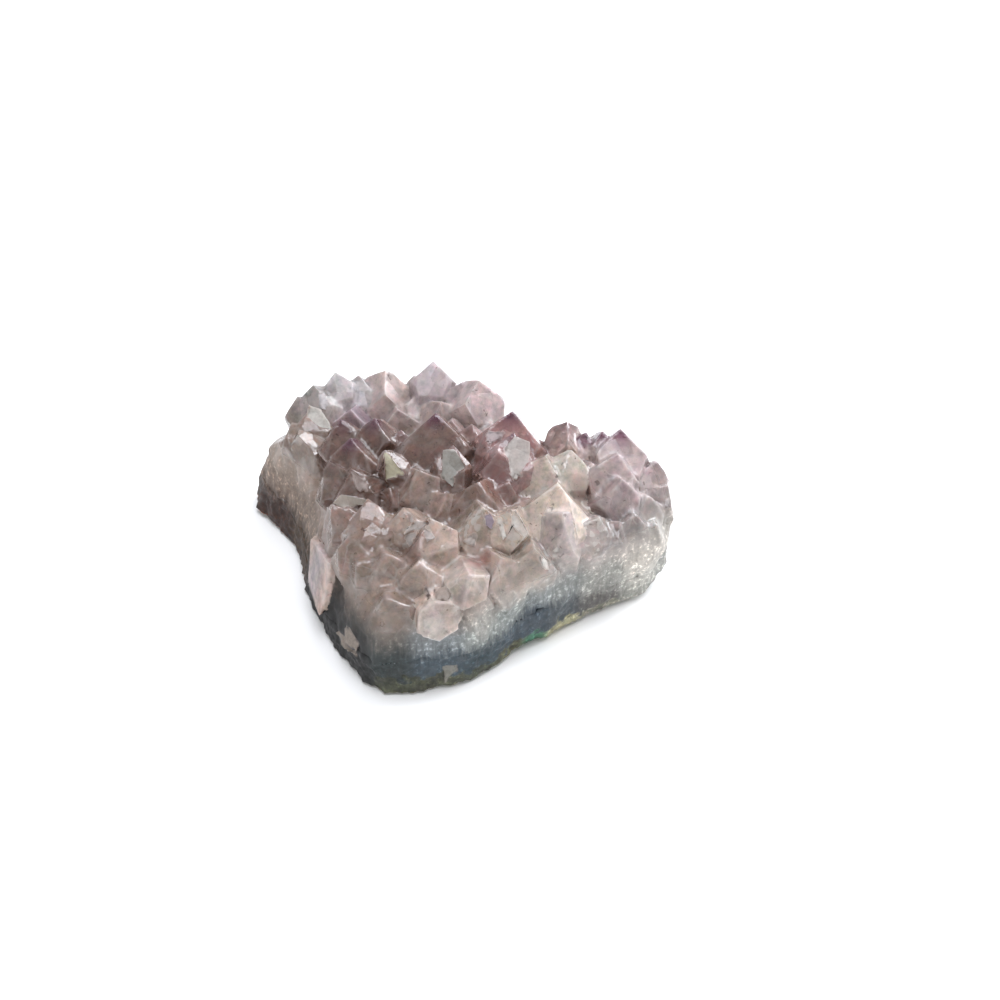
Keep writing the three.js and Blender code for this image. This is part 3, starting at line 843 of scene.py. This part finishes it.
def makeRind():
    piece = copySolid("chalcedony_rind", "chalcedony_rind_worn")
    facetFaces = addFacets(piece, facets["rind"])
    cutFine(piece, rind["grain"])
    quartz = surfaceOf(frame["nodes"]["amethyst_crystals"])
    easeSide(
        piece,
        lambda vertex: abs(vertex.normal.z) < rind["upright"]
        and vertex.co.z > rind["easedAbove"]
        and quartz.find_nearest(vertex.co)[3] > seam["kept"],
        rind["rounds"],
    )
    onFacets = facetOf(piece, facetFaces)
    moved = []
    for vertex in piece.data.vertices:
        place, normal = vertex.co.copy(), vertex.normal.copy()
        below = quartz.find_nearest(place)[3]
        side = uprightShare(normal, seam["steepness"])
        pit = noise.noise(place / mm / rind["pit"]) * rind["pits"]
        foot = rind["footPits"] if place.z < rind["footHeight"] else 1
        shift = levelOf(normal) * brokenRelief(place) * side
        shift += normal * pit * foot * smooth(*rind["pitsBelow"], below / mm)
        if normal.z > rind["upright"]:
            shift += seamWander(place) - levelOf(normal) * rind["tuck"] * side
        moved.append(place + shift)
    movePoints(piece, moved)
    paintFacets(piece, onFacets, facets["rind"])
    paintSides(piece)
    makeActive(piece)
    bpy.ops.object.shade_smooth_by_angle(angle=math.radians(rind["softAngle"]))
    return piece


# Materials

# How often each pattern repeats in a metre, which is 1000 over its size in mm
repeats = {
    "fibres": (1500, 1500, 260),    # 0.7 mm wide, 4 mm high, in the side
    "blotches": 480,                # 2 mm, in the side
    "waves": 150,                   # 7 mm, in the side
    "sugar": 1150,                  # 0.9 mm, in the side
    "frost": 1900,                  # 0.5 mm, on the facets
    "clouds": 160,                  # 6 mm
    "mottling": 620,                # 1.6 mm
    "veils": 300,                   # 3 mm
    "cracks": 150,                  # 7 mm apart
    "oxide": 1000,                  # 1 mm
    "flakesAndSparkle": 1250,                 # 0.8 mm
    "steps": 380,                   # 2.6 mm
    "hills": 420,                   # 2.4 mm
    "grit": 900,                    # 1.1 mm, in the rind
}

# Light goes a little way into the stones
glow = {
    "Subsurface Weight": 0.4, "Subsurface Scale": 2 * mm, "Subsurface Radius": (1, 0.8, 0.75),
}


def stoneMaterial(name):
    material = bpy.data.materials.new(name)
    material.use_nodes = True
    material.node_tree.nodes.clear()
    return material


# Makes a colour darker and lighter with a pattern, from dark at its low level to light at its high
def varyTone(tree, colour, pattern, low, high, dark, light):
    factor = addNode(
        tree, "ShaderNodeMapRange",
        {"From Min": low, "From Max": high, "To Min": dark, "To Max": light}, {"Value": pattern},
    )
    return addNode(
        tree, "ShaderNodeVectorMath", {"operation": "SCALE"},
        {0: colour, "Scale": factor.outputs["Result"]},
    ).outputs[0]


# Each row of levels: two levels of a pattern, and the factor for the colour at each of them
sideLook = {
    "noises": {
        "blotches": {"Detail": 5, "Roughness": 0.6},
        "waves": {"Detail": 3},
        "sugar": {"Detail": 4, "Roughness": 0.7},
    },
    "fibres": {"Scale": 1, "Detail": 4, "Roughness": 0.65},
    "basalt": (0.36, 0.66, 0.4, 1.75),    # the skin at the foot, in dark and pale grains
    # Each zone starts where the last one ends: what frays its edge, how far, and how soft it is
    "zones": [
        ("bandTone", "X", "blotches", 9 * mm, 0.5 * mm),
        ("greyTone", "Y", "fibres", 6 * mm, 2.2 * mm),
        ("wallTone", "Z", "waves", 12 * mm, 3.5 * mm),
    ],
    # Streaks, sugary grain, and pale specks of quartz
    "grains": [
        ("fibres", (0.32, 0.68, 0.8, 1.22)),
        ("sugar", (0.34, 0.66, 0.78, 1.24)),
        ("sugar", (0.55, 0.7, 0.97, 2.1)),
    ],
}


# Colour of the broken side, from the skin at the foot up through the dark band and the grey zone
# to the wall, with fibres that stand upright in it and fray the edges of the zones
def sideColour(tree, place):
    tones = {
        name: addNode(tree, "ShaderNodeAttribute", {"attribute_name": name}).outputs["Color"]
        for name in sideTones
    }
    height = addNode(tree, "ShaderNodeSeparateXYZ", None, {0: place}).outputs["Z"]
    tops = addNode(tree, "ShaderNodeAttribute", {"attribute_name": "sideTops"}).outputs["Vector"]
    topOf = addNode(tree, "ShaderNodeSeparateXYZ", None, {0: tops}).outputs
    noises = {
        name: addNode(
            tree, "ShaderNodeTexNoise", {"Scale": repeats[name], **settings}, {"Vector": place},
        ).outputs["Fac"]
        for name, settings in sideLook["noises"].items()
    }
    upright = addNode(
        tree, "ShaderNodeMapping", {"Scale": repeats["fibres"]}, {"Vector": place},
    )
    noises["fibres"] = addNode(
        tree, "ShaderNodeTexNoise", sideLook["fibres"], {"Vector": upright.outputs[0]},
    ).outputs["Fac"]
    colour = varyTone(tree, tones["skinTone"], noises["blotches"], *sideLook["basalt"])
    for tone, axis, pattern, fray, softness in sideLook["zones"]:
        frayed = addNode(
            tree, "ShaderNodeMath", {"operation": "MULTIPLY_ADD", 1: fray, 2: -fray / 2},
            {0: noises[pattern]},
        )
        lifted = addNode(
            tree, "ShaderNodeMath", {"operation": "ADD"}, {0: height, 1: frayed.outputs[0]},
        )
        over = addNode(
            tree, "ShaderNodeMath", {"operation": "SUBTRACT"},
            {0: lifted.outputs[0], 1: topOf[axis]},
        )
        share = addNode(
            tree, "ShaderNodeMapRange",
            {"interpolation_type": "SMOOTHSTEP", "From Min": -softness, "From Max": softness},
            {"Value": over.outputs[0]},
        )
        colour = addNode(
            tree, "ShaderNodeMix", {"data_type": "RGBA"},
            {0: share.outputs["Result"], 6: colour, 7: tones[tone]},
        ).outputs[2]
    for pattern, levels in sideLook["grains"]:
        colour = varyTone(tree, colour, noises[pattern], *levels)
    return colour


# Lays the colours of the facets, with their painted highlights and shade, over a piece's own, with
# a fine frost in them
def withFacets(tree, place, colour):
    facetToneAndGlint = addNode(tree, "ShaderNodeAttribute", {"attribute_name": "facetToneAndGlint"})
    tone = addNode(tree, "ShaderNodeAttribute", {"attribute_name": "facetToneAndGlintColour"})
    frost = addNode(
        tree, "ShaderNodeTexNoise", {"Scale": repeats["frost"], "Detail": 4, "Roughness": 0.7},
        {"Vector": place},
    )
    frosted = varyTone(tree, tone.outputs["Color"], frost.outputs["Fac"], *facets["frost"])
    share = addNode(
        tree, "ShaderNodeMath", {"operation": "MULTIPLY", 1: facets["cover"]},
        {0: facetToneAndGlint.outputs["Fac"]},
    )
    return addNode(
        tree, "ShaderNodeMix", {"data_type": "RGBA"},
        {0: share.outputs[0], 6: colour, 7: frosted},
    ).outputs[2]


quartzLook = {
    "noises": {
        "clouds": {"Detail": 5},
        "mottling": {"Detail": 6, "Roughness": 0.7},
        "veils": {"Detail": 5, "Distortion": 0.5},
        "oxide": {"Detail": 3, "Distortion": 0.8},
        "hills": {"Detail": 6},
    },
    "shadeSpread": 0.35,    # how far the crystals differ from each other in shade
    "clouds": (0.4, 0.95, 0.76, 1.24),
    "mottling": (0.34, 0.66, 0.74, 1.28),
    "hueSpread": (0.45, 0.35, 0.35),    # of the mottling, in red, green and blue
    "hueLeast": (0.775, 0.825, 0.825),
    "wander": 4 * mm,       # how far the cracks and flakes stray
    # Two levels of a pattern, and how much of what it governs there is at each of them
    "levels": {
        "veils": (0.5, 0.75, 0, 0.4),
        "crackWidth": (0.01, 0.03, 0.3, 0),
        "crackLength": (0.5, 0.62, 0, 1),
        "rose": (0, 1, 0, 1),
        "tips": (0.05, 0.42, 0, 0.88),
        "cleftFilmAndShade": (0.5, 1.0, 0, 0.5),
        "oxide": (0.66, 0.72, 0, 0.65),
        "flakesAndSparkle": (0.46, 0.6, 0, 0.6),
        "seeThrough": (0, 1, 0.62, 0),
        "roughness": (0, 1, 0.12, 0.65),
    },
    # Colours that lie over the body, the lowest first
    "layers": {
        "veils": "#d8cdc8",     # soft pale veils of bubbles
        "cracks": "#e3dbd4",    # healed cracks, thin lines that wander and break off
        "rose": "#8e5752",      # iron stain
        "tips": "#67304d",      # violet, fading downwards in a ragged edge
        "cleftFilmAndShade": "#73604f",    # brown film, and painted shade in the hollows
        "oxide": "#4a2f28",     # specks of iron oxide
        "flakesAndSparkle": "#e6e1da",    # cracked quartz, white, with painted sparkle where it would catch the light
    },
    "worn": "#e9e2e0",
    "wornShare": 0.15,
    "stepHeight": 0.3,      # growth steps, flat patches that each turn a few degrees their own way
    "hillStrength": 0.5,
    "hillHeight": 0.2 * mm,
    "ior": 1.55,
    "absorbed": "#d8c0b4",
    "density": 30,
}


# Quartz, IOR 1.544 to 1.553, grown in hot water: glassy flat faces, violet where iron was taken up
# last, at the tips, and clouded white with tiny bubbles towards the root.
def amethystQuartz():
    material = stoneMaterial("amethyst_quartz")
    tree = material.node_tree
    place = addNode(tree, "ShaderNodeTexCoord").outputs["Object"]
    read = {
        name: addNode(tree, "ShaderNodeAttribute", {"attribute_name": name}).outputs
        for name in ("tint", "shade", "tip", "wall", "cleft", "worn", "rose", "flawsAndSparkle", "milky")
    }
    noises = {
        name: addNode(
            tree, "ShaderNodeTexNoise", {"Scale": repeats[name], **settings}, {"Vector": place},
        ).outputs
        for name, settings in quartzLook["noises"].items()
    }
    # Every crystal a little lighter or darker than its zone, with clouds in it, and mottled
    shade = addNode(
        tree, "ShaderNodeMath", {"operation": "MULTIPLY_ADD", 1: quartzLook["shadeSpread"]},
        {0: read["shade"]["Fac"], 2: noises["clouds"]["Fac"]},
    )
    colour = varyTone(tree, read["tint"]["Color"], shade.outputs[0], *quartzLook["clouds"])
    colour = varyTone(tree, colour, noises["mottling"]["Fac"], *quartzLook["mottling"])
    hues = addNode(
        tree, "ShaderNodeVectorMath",
        {"operation": "MULTIPLY_ADD", 1: quartzLook["hueSpread"], 2: quartzLook["hueLeast"]},
        {0: noises["mottling"]["Color"]},
    )
    colour = addNode(
        tree, "ShaderNodeVectorMath", {"operation": "MULTIPLY"}, {0: colour, 1: hues.outputs[0]},
    ).outputs[0]
    strayed = addNode(
        tree, "ShaderNodeVectorMath",
        {"operation": "MULTIPLY_ADD", 1: [quartzLook["wander"]] * 3},
        {0: noises["clouds"]["Color"], 2: place},
    ).outputs[0]
    cracks = addNode(
        tree, "ShaderNodeTexVoronoi", {"feature": "DISTANCE_TO_EDGE", "Scale": repeats["cracks"]},
        {"Vector": strayed},
    )
    flakesAndSparkle = addNode(
        tree, "ShaderNodeTexVoronoi", {"Scale": repeats["flakesAndSparkle"]}, {"Vector": strayed},
    )
    patterns = {
        "veils": noises["veils"]["Fac"],
        "crackWidth": cracks.outputs["Distance"],
        "crackLength": noises["clouds"]["Fac"],
        # painted shade and brown film, deepest where most rays meet the stone again
        "cleftFilmAndShade": read["cleft"]["Fac"],
        "oxide": noises["oxide"]["Fac"],
        "seeThrough": read["milky"]["Fac"],
        "roughness": read["milky"]["Fac"],
    }
    for name, where, pattern in (
        ("rose", "rose", noises["mottling"]["Fac"]),
        ("tips", "tip", noises["clouds"]["Fac"]),
        ("flakesAndSparkle", "flawsAndSparkle", flakesAndSparkle.outputs["Color"]),
    ):
        patterns[name] = addNode(
            tree, "ShaderNodeMath", {"operation": "MULTIPLY"}, {0: pattern, 1: read[where]["Fac"]},
        ).outputs[0]
    shares = {}
    for name, pattern in patterns.items():
        low, high, atLow, atHigh = quartzLook["levels"][name]
        shares[name] = addNode(
            tree, "ShaderNodeMapRange",
            {"From Min": low, "From Max": high, "To Min": atLow, "To Max": atHigh},
            {"Value": pattern},
        ).outputs["Result"]
    shares["cracks"] = addNode(
        tree, "ShaderNodeMath", {"operation": "MULTIPLY"},
        {0: shares["crackWidth"], 1: shares["crackLength"]},
    ).outputs[0]
    for name, tone in quartzLook["layers"].items():
        colour = addNode(
            tree, "ShaderNodeMix", {"data_type": "RGBA", 7: linear(tone)},
            {0: shares[name], 6: colour},
        ).outputs[2]
    sided = addNode(
        tree, "ShaderNodeMix", {"data_type": "RGBA"},
        {0: read["wall"]["Fac"], 6: colour, 7: sideColour(tree, place)},
    )
    # Convex edges a little paler: chipped wear, and a painted highlight along them
    wornMix = addNode(
        tree, "ShaderNodeMath", {"operation": "MULTIPLY", 1: quartzLook["wornShare"]},
        {0: read["worn"]["Fac"]},
    )
    worn = addNode(
        tree, "ShaderNodeMix", {"data_type": "RGBA", 7: linear(quartzLook["worn"])},
        {0: wornMix.outputs[0], 6: sided.outputs[2]},
    )
    # Growth steps, and none in the broken side
    grown = addNode(
        tree, "ShaderNodeMath", {"operation": "SUBTRACT", 0: 1}, {1: read["wall"]["Fac"]},
    )
    steps = addNode(
        tree, "ShaderNodeTexVoronoi", {"Scale": repeats["steps"]}, {"Vector": place},
    )
    across = addNode(
        tree, "ShaderNodeVectorMath", {"operation": "SUBTRACT"},
        {0: place, 1: steps.outputs["Position"]},
    )
    turned = addNode(
        tree, "ShaderNodeVectorMath", {"operation": "SUBTRACT", 1: (0.5, 0.5, 0.5)},
        {0: steps.outputs["Color"]},
    )
    slope = addNode(
        tree, "ShaderNodeVectorMath", {"operation": "DOT_PRODUCT"},
        {0: across.outputs[0], 1: turned.outputs[0]},
    )
    terraces = addNode(
        tree, "ShaderNodeBump", {"Distance": quartzLook["stepHeight"]},
        {"Height": slope.outputs["Value"], "Strength": grown.outputs[0]},
    )
    skin = addNode(
        tree, "ShaderNodeBump",
        {"Strength": quartzLook["hillStrength"], "Distance": quartzLook["hillHeight"]},
        {"Height": noises["hills"]["Fac"], "Normal": terraces.outputs[0]},
    )
    shader = addNode(
        tree, "ShaderNodeBsdfPrincipled", {"IOR": quartzLook["ior"], **glow},
        {
            "Base Color": withFacets(tree, place, worn.outputs[2]),
            "Transmission Weight": shares["seeThrough"],
            "Roughness": shares["roughness"],
            "Normal": skin.outputs[0],
        },
    )
    soak = addNode(
        tree, "ShaderNodeVolumeAbsorption",
        {"Color": linear(quartzLook["absorbed"]), "Density": quartzLook["density"]},
    )
    addNode(
        tree, "ShaderNodeOutputMaterial", None,
        {"Surface": shader.outputs[0], "Volume": soak.outputs[0]},
    )
    return material


rindLook = {
    "ior": 1.54,
    "roughness": {"From Min": 0.3, "From Max": 0.7, "To Min": 0.5, "To Max": 0.8},
    "bump": {"Strength": 0.6, "Distance": 0.3 * mm},
}


# Chalcedony, IOR 1.54, broken: fibres standing across the rind, waxy to dull, dark blue-grey with
# white streaks, and under it a thin brown and cream basalt skin with some green celadonite.
def chalcedonyRind():
    material = stoneMaterial("chalcedony_rind")
    tree = material.node_tree
    place = addNode(tree, "ShaderNodeTexCoord").outputs["Object"]
    grit = addNode(
        tree, "ShaderNodeTexNoise", {"Scale": repeats["grit"], "Detail": 5}, {"Vector": place},
    )
    rough = addNode(
        tree, "ShaderNodeMapRange", rindLook["roughness"], {"Value": grit.outputs["Fac"]},
    )
    bump = addNode(tree, "ShaderNodeBump", rindLook["bump"], {"Height": grit.outputs["Fac"]})
    shader = addNode(
        tree, "ShaderNodeBsdfPrincipled", {"IOR": rindLook["ior"], **glow},
        {
            "Base Color": withFacets(tree, place, sideColour(tree, place)),
            "Roughness": rough.outputs["Result"],
            "Normal": bump.outputs[0],
        },
    )
    addNode(tree, "ShaderNodeOutputMaterial", None, {"Surface": shader.outputs[0]})
    return material


druseBody = makeDruse()
druseBody.data.materials.append(amethystQuartz())
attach(druseBody, "root")
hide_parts("amethyst_crystals")
print("quartz made:", len(druseBody.data.polygons), "faces")

rindBody = makeRind()
rindBody.data.materials.append(chalcedonyRind())
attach(rindBody, "root")
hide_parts("chalcedony_rind")
print("rind made:", len(rindBody.data.polygons), "faces")

print("done")
